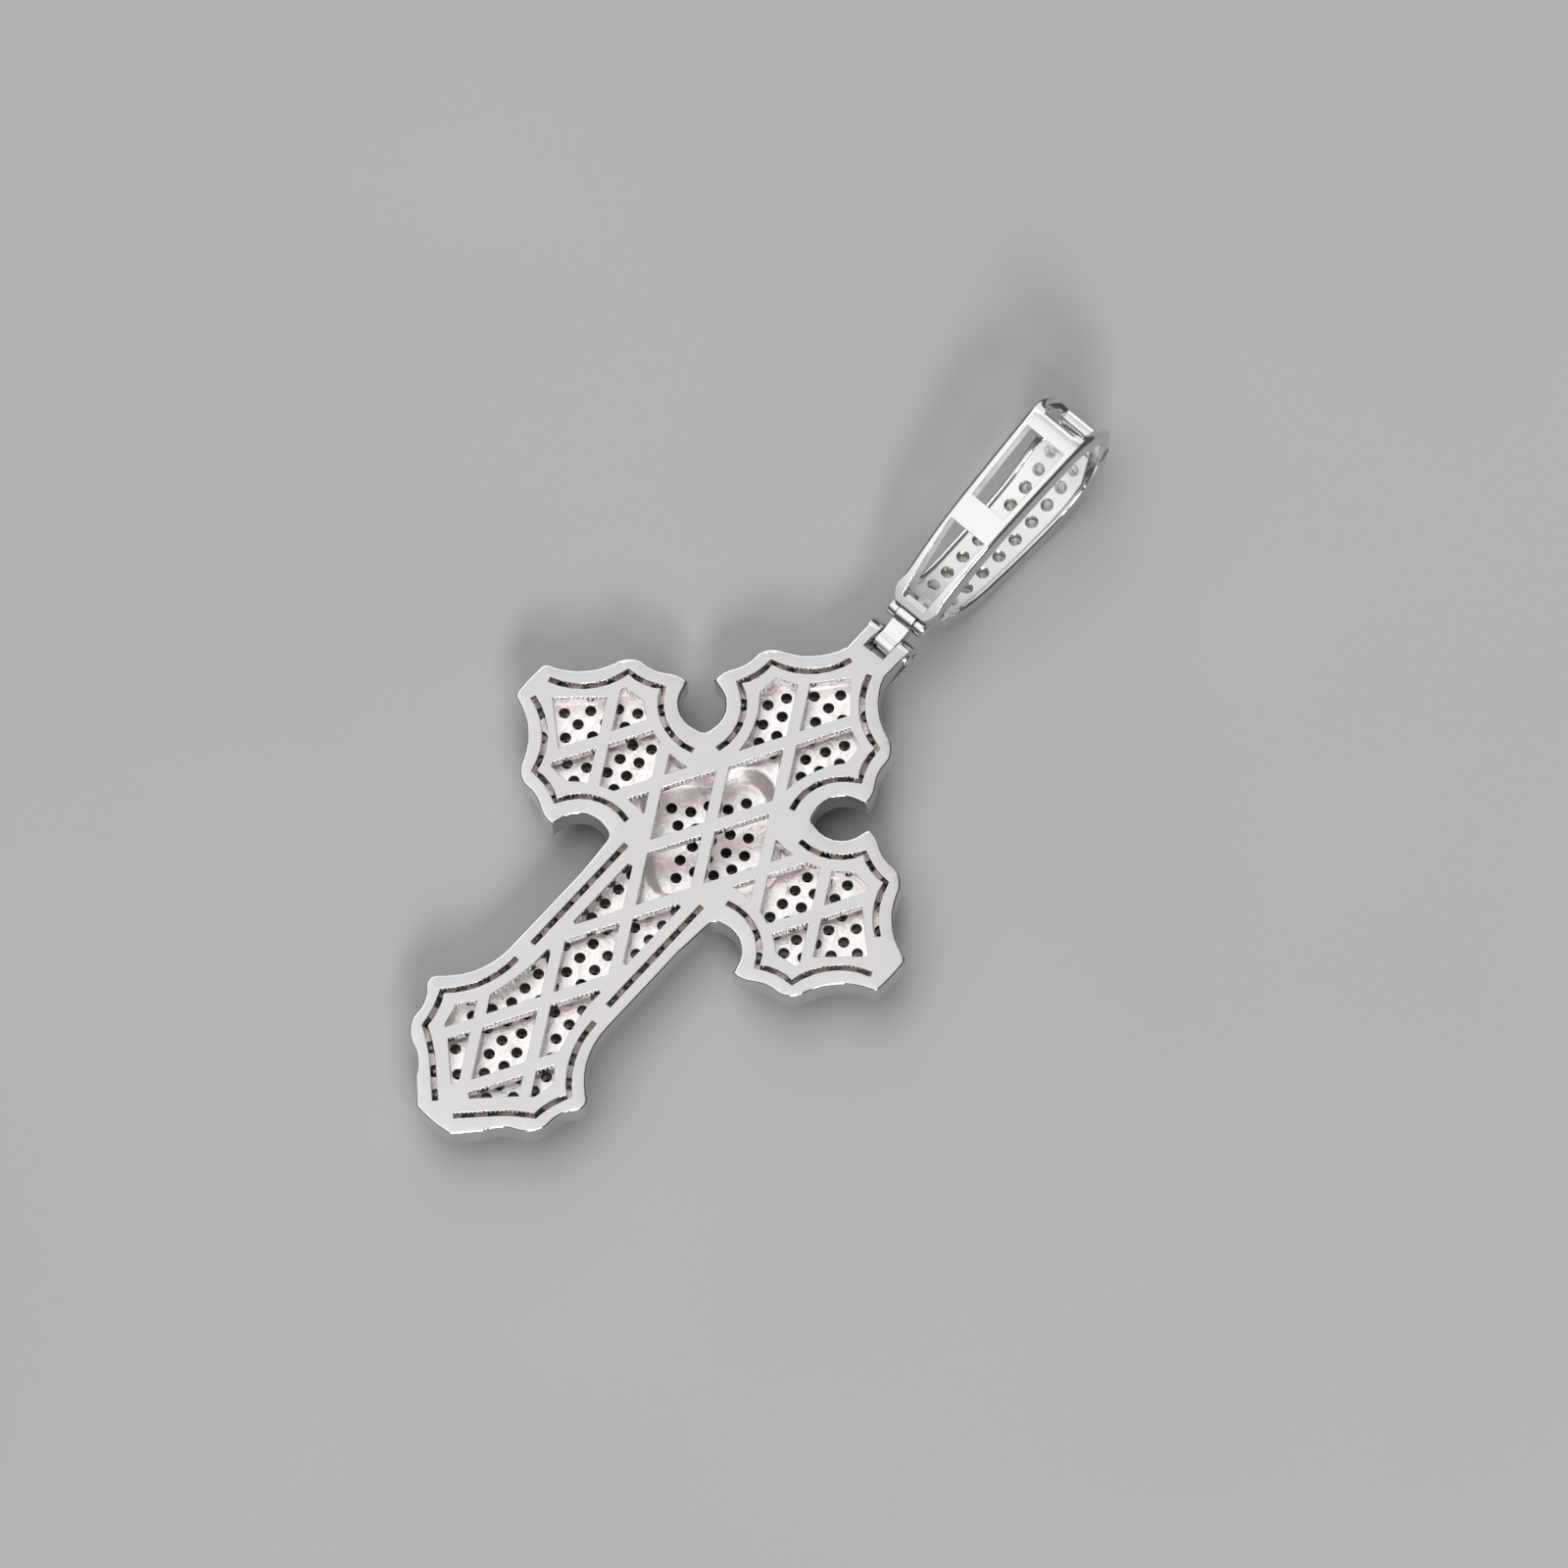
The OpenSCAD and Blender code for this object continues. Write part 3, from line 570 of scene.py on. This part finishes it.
def bail_frame():
    """The bail's openwork back as one closed skin: a rail on each side that runs from the foot over the
    shoulder and goes on as the rim of the front band, the crossbar, and the top bar. Both rails are rings of
    points at many places along the loop. Where there is a bar, they are joined above and below and have no
    inner walls."""
    # Crossbar and top bar, from and to
    bars = [(27.7, 29.85), (36.1, CROWN_Y)]
    run, columns = rail_sections()
    right = rail_rings(run, *columns)
    left = right * [-1, 1, 1]
    count, sides = right.shape[:2]
    points = np.concatenate([right.reshape(-1, 3), left.reshape(-1, 3),
                             right[[0, -1]].mean(axis=1), left[[0, -1]].mean(axis=1)])
    within = [(run[:-1] > run_at(low) - 1e-3) & (run[1:] < run_at(high) + 1e-3) for low, high in bars]
    joined = np.any(within, axis=0)
    k, i = np.meshgrid(np.arange(count - 1), np.arange(sides), indexing="ij")
    wanted = ~(joined[:, None] & (i == sides - 1))
    k, i = k[wanted], i[wanted]
    j = (i + 1) % sides
    skin = two_triangles(k * sides + i, k * sides + j, (k + 1) * sides + j, (k + 1) * sides + i)
    one, two, last = np.arange(sides), (np.arange(sides) + 1) % sides, (count - 1) * sides
    middle = np.full(sides, 2 * count * sides)
    ends = np.concatenate([np.stack([middle, two, one], axis=1),
                           np.stack([middle + 1, last + one, last + two], axis=1)])
    other = count * sides
    mirrored = np.concatenate([skin + other, np.where(ends < other, ends + other, ends + 2)])[:, ::-1]
    row = np.flatnonzero(joined) * sides
    top = two_triangles(other + row, row, row + sides, other + row + sides)
    low = sides - 1
    under = two_triangles(other + row + low, other + row + sides + low, row + sides + low, row + low)
    change = np.diff(np.concatenate([[0], joined.astype(int), [0]]))
    first, final = np.flatnonzero(change == 1) * sides, np.flatnonzero(change == -1) * sides
    shut = np.concatenate([two_triangles(final + other + low, final + other, final, final + low),
                           two_triangles(first + low, first, first + other, first + other + low)])
    faces = np.concatenate([skin, ends, mirrored, top, under, shut])
    piece = new_piece("bail_frame", points * MM, faces.ravel(), np.full(len(faces), 3), [bail_silver])
    piece.data.normals_split_custom_set(soft_normals(piece.data, 35).tolist())
    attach(piece, "bail")


def band_end(half=1.5, low=(39.2, 4.45), high=(40.08, 6.2), r=0.13, bend=5):
    """Flat end of the front band between the shoulders: a rectangle with four quarter circles for corners in
    the side view, carried across the width."""
    t = np.linspace(0, np.pi / 2, bend)
    cos, sin = r * np.cos(t), r * np.sin(t)
    (y0, z0), (y1, z1) = (low[0] + r, low[1] + r), (high[0] - r, high[1] - r)
    ring = np.concatenate([np.stack([y1 + cos, z1 + sin], axis=1), np.stack([y0 - sin, z1 + cos], axis=1),
                           np.stack([y0 - cos, z0 - sin], axis=1), np.stack([y1 + sin, z0 - cos], axis=1)])
    count = len(ring)
    side = ring + [CROSS_Y, 0]
    points = np.concatenate([np.column_stack([np.full(count, x), side]) for x in (-half, half)])
    one, two = np.arange(count), (np.arange(count) + 1) % count
    walls = np.stack([one, two, two + count, one + count], axis=1)
    corners = np.concatenate([walls.ravel(), one[::-1], one + count])
    piece = new_piece("band_end", points * MM, corners, [4] * count + [count, count], [bail_silver])
    piece.data.set_sharp_from_angle(angle=math.radians(50))
    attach(piece, "bail")


bail_frame()
band_end()


# The link

link = merged_copy("link", "hinge_link", [bail_silver])
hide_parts("link")
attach(link, "link")


# Stones

def stone_seats(node):
    """Every stone of a solid node as girdle centre, axis towards its point, and diameter, in mm. Corners that
    share triangles come to share their least label, so each label is one stone. Its axis is the direction in
    which its corners spread least."""
    points, corners = points_and_corners(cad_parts[node].data)
    points, same = np.unique(points.round(4), axis=0, return_inverse=True)
    triangles = same.ravel()[corners].reshape(-1, 3)
    label = np.arange(len(points))
    for _ in range(8):
        np.minimum.at(label, triangles.ravel(), label[triangles].min(axis=1).repeat(3))
    stones = points[np.argsort(label, kind="stable")].reshape(-1, STONE_CORNERS, 3)
    middle = stones.mean(axis=1, keepdims=True)
    axis = np.linalg.svd(stones - middle)[2][:, 2]
    height = np.einsum("nvi,ni->nv", stones - middle, axis)
    tip = np.abs(height).argmax(axis=1)
    rows = np.arange(len(stones))
    axis = axis * np.sign(height[rows, tip])[:, None]
    culet = stones[rows, tip]
    away = stones - culet[:, None]
    away = away - np.einsum("nvi,ni->nv", away, axis)[..., None] * axis[:, None]
    width = 2 * np.linalg.norm(away, axis=2).max(axis=1)
    return culet - axis * (PAVILION_SHARE * width)[:, None], axis, width


def frames_along(axis, spin):
    """Turns whose third column is the axis and whose first is level, turned about the axis by spin."""
    side = np.cross(np.array([0.0, 1.0, 0.0]), axis)
    side /= np.linalg.norm(side, axis=1, keepdims=True)
    other = np.cross(axis, side)
    first = np.cos(spin)[:, None] * side + np.sin(spin)[:, None] * other
    second = np.cross(axis, first)
    return np.stack([first, second, axis], axis=2)


def brilliant(depth, crown):
    """Round cut of girdle diameter 1, point up: table, 8 stars, 8 kites and 16 upper facets below the girdle,
    and 16 lower facets and 8 mains above it. Rings of points at radius * (cos a, sin a)."""
    def ring(radius, z, count, start):
        a = np.radians(start + 360 * np.arange(count) / count)
        return np.stack([radius * np.cos(a), radius * np.sin(a), np.full(count, z)], axis=1)
    points = np.concatenate([ring(0.3, -crown, 8, 0), ring(0.412, -0.6 * crown, 8, 22.5),
                             ring(0.5, 0, 16, 0), ring(0.13, 0.76 * depth, 8, 22.5), [[0, 0, depth]]])
    table, star, girdle, low_ring, point = 0, 8, 16, 32, 40
    k = np.arange(8)
    n, p = (k + 1) % 8, (k - 1) % 8
    g0, g1, g2 = girdle + 2 * k, girdle + 2 * k + 1, girdle + (2 * k + 2) % 16
    faces = [table + k[::-1]]
    faces += [*np.stack([table + k, table + n, star + k], axis=1)]
    faces += [*np.stack([table + k, star + k, g0, star + p], axis=1)]
    faces += [*np.stack([star + k, g1, g0], axis=1), *np.stack([star + k, g2, g1], axis=1)]
    faces += [*np.stack([low_ring + k, g0, g1], axis=1), *np.stack([low_ring + k, g1, g2], axis=1)]
    faces += [*np.stack([np.full(8, point), low_ring + p, g0, low_ring + k], axis=1)]
    return points, faces


def cut_stones(node, name, body, glass):
    """The stones of one node as brilliants at their own seats, each turned by its own angle."""
    seat, axis, width = stone_seats(node)
    turns = frames_along(axis, LUCK.uniform(0, np.pi / 4, len(seat))) * width[:, None, None]
    points, faces = brilliant(PAVILION_SHARE, CROWN_H / width.mean())
    piece = new_piece(name, *repeated(points, faces, turns * MM, seat * MM), [glass], smooth=False)
    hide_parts(node)
    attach(piece, body)
    return seat, axis, width


centre_seat = cut_stones("centre_stone", "cut_centre_stone", "cross", shaded_stone)
boss_seats = cut_stones("boss_stones", "cut_boss_stones", "cross", shaded_stone)
field_seats = cut_stones("field_stones", "cut_field_stones", "cross", shaded_stone)
border_seats = cut_stones("border_stones", "cut_border_stones", "cross", shaded_stone)
bail_seats = cut_stones("bail_stones", "cut_bail_stones", "bail", lit_stone)


# Stone points in the slots

def slot_points(seats):
    """Points of the border stones that glint in the slots, in the middle of the seats: six-sided cones of
    radius and height, each turned by its own angle."""
    places = np.concatenate([seats[0][:, :2], np.full((len(seats[0]), 1), SLOT_Z - 0.15)], axis=1)
    a = LUCK.uniform(0, 2 * np.pi, len(places))
    none, whole = np.zeros_like(a), np.ones_like(a)
    turns = np.moveaxis(np.array([[np.cos(a), -np.sin(a), none], [np.sin(a), np.cos(a), none],
                                  [none, none, whole]]), 2, 0)
    points, faces = spun([[0.17, 0.0], [0.14, 0.10], [0.06, 0.18]], 6)
    copies = repeated(points, faces, turns * MM, places * MM)
    # The points are real, but their white glints come from the opaque white stone finish: painted highlight
    piece = new_piece("slot_points", *copies, [lit_stone], smooth=False)
    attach(piece, "cross")


slot_points(border_seats)


# Beads along the edges of the pierced walls

def upper_edges():
    """Both ends of the upper edge of every ridged wall, in mm, and whether the wall is a slot's. A wall's
    triangle bounds the back where two of its corners in a row lie at the back."""
    points, corners = points_and_corners(cross.data)
    walls = points[corners].reshape(-1, 3, 3)[ridged_wall]
    upper = walls[..., 2] > BACK_Z - 0.01
    starts = upper & np.roll(upper, -1, axis=1)
    bounding = starts.any(axis=1)
    walls, rows, k = walls[bounding], np.arange(bounding.sum()), starts[bounding].argmax(axis=1)
    return walls[rows, k], walls[rows, (k + 1) % 3], slot_wall[ridged_wall][bounding]


def edge_beads(radius=0.125, slot_radius=0.08, stand_out=0.4):
    """Beads that the printed ridges leave along the upper edge of the pierced walls: drops whose round tops
    stand at the edge and whose tails run down the wall. They sit where parallel lines, a pitch apart, cross
    the edges, and vary in size."""
    one, two, in_slot = upper_edges()
    across = np.array([-RIDGES_FACE[1], RIDGES_FACE[0], 0])
    first, last = np.sort(np.stack([one @ across, two @ across]), axis=0) / RIDGE_PITCH
    count = (np.floor(last) - np.ceil(first) + 1).astype(int).clip(min=0)
    edge = np.repeat(np.arange(len(one)), count)
    line = np.ceil(first)[edge] + np.arange(count.sum()) - np.repeat(np.cumsum(count) - count, count)
    run = (two - one)[edge]
    share = (line * RIDGE_PITCH - one[edge] @ across) / (run @ across)
    size = LUCK.uniform(0.55, 1.1, (len(edge), 1)) * np.where(in_slot, slot_radius, radius)[edge, None]
    outward = np.cross(run, (0, 0, 1))
    outward *= np.sign(outward @ RIDGES_FACE)[:, None] / np.linalg.norm(outward, axis=1, keepdims=True)
    places = one[edge] + share[:, None] * run + size * (stand_out * outward - (0, 0, 1))
    points, faces = spun([[0.2, -4.0], [0.55, -2.0], [0.95, -0.4], [0.95, 0.3], [0.55, 0.83]], 6)
    copies = repeated(points, faces, np.eye(3) * size[:, :, None] * MM, places * MM)
    # The beads take a lighter silver than the walls: painted highlight
    piece = new_piece("edge_beads", *copies, [ridge_highlight_silver])
    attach(piece, "cross")


edge_beads()


# Beads that hold the stones

def bead_shape(radius, length):
    """Bead that points down: a short post with a round end, radius cos t and length minus radius plus radius
    sin t."""
    t = np.radians([0, 35, 65])
    end = np.stack([radius * np.cos(t), -(length - radius + radius * np.sin(t))], axis=1)
    profile = np.concatenate([[[radius, 0.0]], end])
    profile[-1, 0] = 0.3 * radius
    points, faces = spun(profile, 8)
    return points, [f[::-1] for f in faces]


def bead_places(seats, others, directions=36, off=0.07, least=0.1, most=0.8):
    """Places of beads round level stones, in mm: out of all directions round each stone, those where the room
    up to the next stone is largest, a little off the girdle. Beads need a least room, and more room than the
    most counts as no more."""
    place, width = seats[0][:, :2], seats[2]
    every, reach = others[0][:, :2], others[2] / 2
    a = 2 * np.pi * np.arange(directions) / directions
    out = np.stack([np.cos(a), np.sin(a)], axis=1)
    spot = place[:, None] + (width / 2 + off)[:, None, None] * out
    gap = np.linalg.norm(spot[:, :, None] - every[None, None], axis=3) - reach
    mine = np.linalg.norm(place[:, None] - every[None], axis=2) < 0.01
    room = np.where(mine[:, None, :], np.inf, gap).min(axis=2).clip(max=most)
    largest = [room >= np.roll(room, step, axis=1) - 1e-6 for step in range(-4, 5)]
    best = np.all(largest, axis=0) & (room > least)
    plateau = best & np.roll(best, 1, axis=1)
    return spot[best & ~plateau]


def all_seats(*groups):
    """Several groups of seats as one."""
    return tuple(np.concatenate(parts) for parts in zip(*groups))


def level_beads(name, seats, others, plate_z, radius, length):
    """Beads under a level plate, one piece."""
    spots = bead_places(seats, others)
    places = np.concatenate([spots, np.full((len(spots), 1), plate_z)], axis=1)
    turns = np.broadcast_to(np.eye(3), (len(spots), 3, 3))
    copies = repeated(*bead_shape(radius, length), turns * MM, places * MM)
    piece = new_piece(name, *copies, [bead_silver])
    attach(piece, "cross")


def band_beads(seats, radius=0.15, length=0.42, off=0.05, rise=0.24):
    """Four beads round every stone of the bail, at the corners of a square, in line with the stone's own
    axis, a little off the girdle."""
    seat, axis, width = seats
    turn = frames_along(axis, np.zeros(len(seat)))
    corner = np.array([[s, t] for s in (-1, 1) for t in (-1, 1)]) * math.sqrt(0.5)
    out = np.einsum("nij,cj->nci", turn[:, :, :2], corner) * (width / 2 + off)[:, None, None]
    spots = (seat[:, None] + out + rise * axis[:, None]).reshape(-1, 3)
    copies = repeated(*bead_shape(radius, length), turn.repeat(4, axis=0) * MM, spots * MM)
    piece = new_piece("bail_beads", *copies, [bead_silver])
    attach(piece, "bail")


level_seats = all_seats(field_seats, border_seats)
raised_seats = all_seats(centre_seat, boss_seats)
level_beads("field_beads", field_seats, level_seats, FRONT_Z + 0.02, radius=0.15, length=0.42)
level_beads("border_beads", border_seats, level_seats, FRONT_Z + 0.02, radius=0.18, length=0.45)
level_beads("boss_beads", raised_seats, raised_seats, BOSS_FRONT_Z + 0.02, radius=0.15, length=0.41)
band_beads(bail_seats)


# Hinge pins

def riveted_pin(name, node, body, half, at):
    """Hinge pin with round rivet heads: a profile of radius by place along the width, spun about Z and laid
    along X."""
    t = np.radians([0, 30, 60, 80])
    head_r, head_h = 1.28 * PIN_R, 0.24
    head = np.stack([head_r * np.cos(t), half + 0.02 + head_h * np.sin(t)], axis=1)
    profile = np.concatenate([[[PIN_R, half - 0.04], [head_r, half - 0.04]], head])
    profile = np.concatenate([profile[::-1] * [1, -1], profile])
    points, faces = spun(profile, 24)
    points = points[:, [2, 0, 1]] + [0, at[0], at[1]]
    copies = repeated(points, faces, np.eye(3)[None] * MM, np.zeros((1, 3)))
    piece = new_piece(name, *copies, [pin_silver])
    piece.data.set_sharp_from_angle(angle=math.radians(50))
    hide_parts(node)
    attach(piece, body)


riveted_pin("clevis_pin", "cross_pin", "cross", CLEVIS_HALF, CLEVIS_PIN)
riveted_pin("ear_pin", "bail_pin", "bail", EARS_HALF, BAIL_PIN)


# Floor, light and camera

def pale_floor():
    """Plain pale floor just under the pendant, with a faint sheen."""
    tree, shader, material = new_material("pale_floor", Roughness=0.42)
    shader.inputs["Specular IOR Level"].default_value = 0.35
    where = object_point(tree)
    greys = two_tones(tree, noise(tree, where, 60.0), (0.48, 0.48, 0.485), (0.50, 0.50, 0.505))
    tree.links.new(greys, shader.inputs["Base Color"])
    reach, z = 1.6, -0.02 * MM
    points = np.array([[-reach, -reach, z], [reach, -reach, z], [reach, reach, z], [-reach, reach, z]])
    floor = new_piece("floor", points, [0, 1, 2, 3], [4], [material])


def soft_box(name, place, size, watts):
    """Square area light that faces the pendant."""
    light = bpy.data.lights.new(name, "AREA")
    light.shape, light.size, light.energy = "SQUARE", size, watts
    lamp = bpy.data.objects.new(name, light)
    place = np.asarray(place, dtype=float)
    away = place / np.linalg.norm(place)
    side = np.cross([0.0, 0.0, 1.0], away)
    side /= np.linalg.norm(side)
    turn = np.eye(4)
    turn[:3, :4] = np.stack([side, np.cross(away, side), away, place], axis=1)
    lamp.matrix_world = Matrix(turn.tolist())
    bpy.context.scene.collection.objects.link(lamp)


def photo_camera():
    """Long lens at the photograph's angle: 69 degrees above the floor, from between the pendant's foot and
    its right arm. The columns of turn are the camera's right, up and back, and its place in metres."""
    data = bpy.data.cameras.new("camera")
    data.sensor_width, data.lens = 36, 587.7
    data.clip_start, data.clip_end = 0.05, 20
    data.dof.use_dof = False
    camera = bpy.data.objects.new("camera", data)
    turn = np.array([[0.74748, -0.61228, 0.25765, 0.4691], [0.66376, 0.70376, -0.25327, -0.4591],
                     [-0.02625, 0.36033, 0.93245, 1.6955], [0, 0, 0, 1]])
    camera.matrix_world = Matrix(turn.tolist())
    bpy.context.scene.collection.objects.link(camera)
    bpy.context.scene.camera = camera


def studio():
    """Surroundings: a broad soft glow that is brightest near the zenith and fades with the angle from its
    middle, over an even pale grey."""
    world = bpy.data.worlds.new("studio")
    bpy.context.scene.world = world
    world.use_nodes = True
    tree = world.node_tree
    middle = (-0.27, -0.25, 0.93)
    ray = add(tree, "TexCoord").outputs["Generated"]
    toward = add(tree, "VectorMath", {0: ray, 1: middle}, operation="DOT_PRODUCT").outputs["Value"]
    glow = add(tree, "MapRange", {"Value": toward, "From Min": 0.66, "From Max": 0.985, "To Min": 0.11,
                                  "To Max": 1.29}, interpolation_type="SMOOTHSTEP").outputs["Result"]
    shade = tree.nodes["Background"]
    shade.inputs["Color"].default_value = (1.0, 1.0, 1.0, 1)
    tree.links.new(glow, shade.inputs["Strength"])


pale_floor()
studio()
soft_box("key_box", (-0.95, 0.9, 1.1), size=1.5, watts=7.0)
soft_box("front_card", (0.95, -0.9, 0.85), size=0.45, watts=10.0)
soft_box("edge_box", (0.62, -0.28, 0.66), size=0.14, watts=1.0)
photo_camera()
bpy.context.scene.view_settings.view_transform = "Standard"
